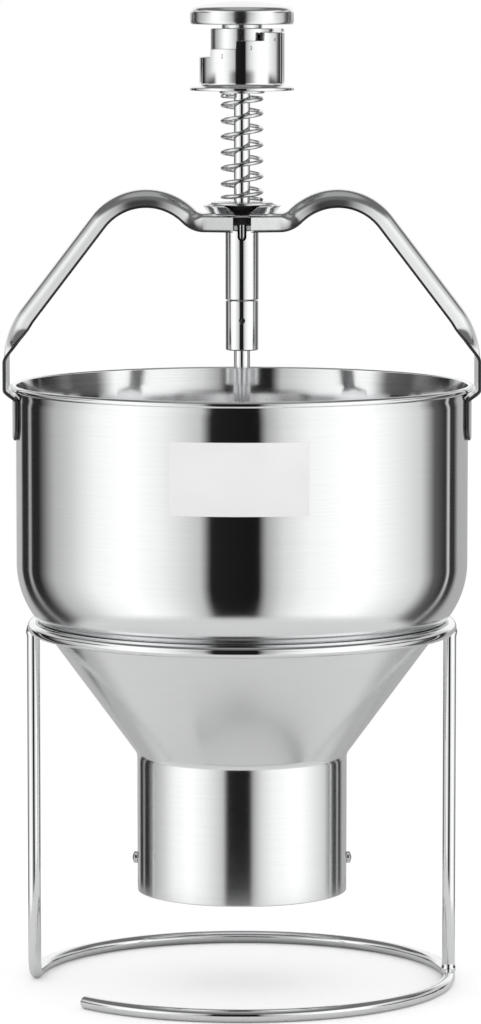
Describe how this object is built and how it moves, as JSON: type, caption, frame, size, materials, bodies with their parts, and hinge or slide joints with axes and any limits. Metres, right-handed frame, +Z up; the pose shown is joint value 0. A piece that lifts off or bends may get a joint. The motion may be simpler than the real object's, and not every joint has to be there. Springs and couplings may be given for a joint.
{
  "type": "donut dropper",
  "caption": "Hand-held batter dropper: steel funnel hopper with arched handle, spring-loaded plunger, stepped dosing knob and cutter outlet, standing in a wire stand.",
  "frame": {"origin": "on the floor under the hopper's axis, which is the middle of the part's footprint", "axes": "+Z up along the plunger, +X along the handle to the right, front at -Y"},
  "size_m": [0.2366, 0.2304, 0.4916],
  "materials": {
    "polished_wire": "polished round wire",
    "polished_steel": "mirror polished stainless sheet outside, brushed inside",
    "brushed_bar": "stainless bar, brushed along its length",
    "turned_steel": "turned and polished stainless",
    "fastener_steel": "plain stainless fasteners",
    "spring_wire": "drawn spring wire",
    "knob_chrome": "turned and polished knob parts",
    "bush_bronze": "plain bearing bronze"
  },
  "bodies": {
    "stand": {"stand_top_ring": "polished_wire", "stand_base_wire": "polished_wire", "stand_right_post": "polished_wire"},
    "dropper": {"hopper_bowl": "polished_steel", "outlet_tube": "polished_steel", "die_ring": "turned_steel", "die_screws": "fastener_steel", "handle_bar": "brushed_bar", "guide_tube": "turned_steel", "guide_bush_upper": "bush_bronze", "guide_bush_lower": "bush_bronze", "seat_dish": "turned_steel", "spring_washer_lower": "fastener_steel", "spring": "spring_wire"},
    "plunger": {"knob_cap": "knob_chrome", "stop_sleeve": "knob_chrome", "knob_lock_nut": "fastener_steel", "upper_rod": "turned_steel", "coupling": "turned_steel", "coupling_pin": "fastener_steel", "lower_rod": "turned_steel", "piston_nut": "fastener_steel", "piston": "turned_steel", "spacer_tube": "turned_steel", "cutter_disc": "turned_steel", "end_nut": "fastener_steel"},
    "cup_seat": {"spring_washer_upper": "fastener_steel"},
    "dosing_cup": {"dosing_cup": "knob_chrome"}
  },
  "joints": [
    {"name": "dropper_lift", "type": "slide", "parent": "stand", "child": "dropper", "axis": [0, 0, 1], "range_m": [0, 0.15]},
    {"name": "plunger_press", "type": "slide", "parent": "dropper", "child": "plunger", "axis": [0, 0, 1], "range_m": [-0.03, 0], "stiffness_N_per_m": 2500, "springref_m": 0.012, "deforming": ["spring"]},
    {"name": "cup_pull", "type": "slide", "parent": "plunger", "child": "cup_seat", "axis": [0, 0, 1], "range_m": [-0.006, 0], "stiffness_N_per_m": 600, "springref_m": 0.006, "deforming": ["spring"]},
    {"name": "cup_turn", "type": "hinge", "parent": "cup_seat", "child": "dosing_cup", "pos_m": [0, 0, 0.44745], "axis": [0, 0, 1], "continuous": true}
  ]
}
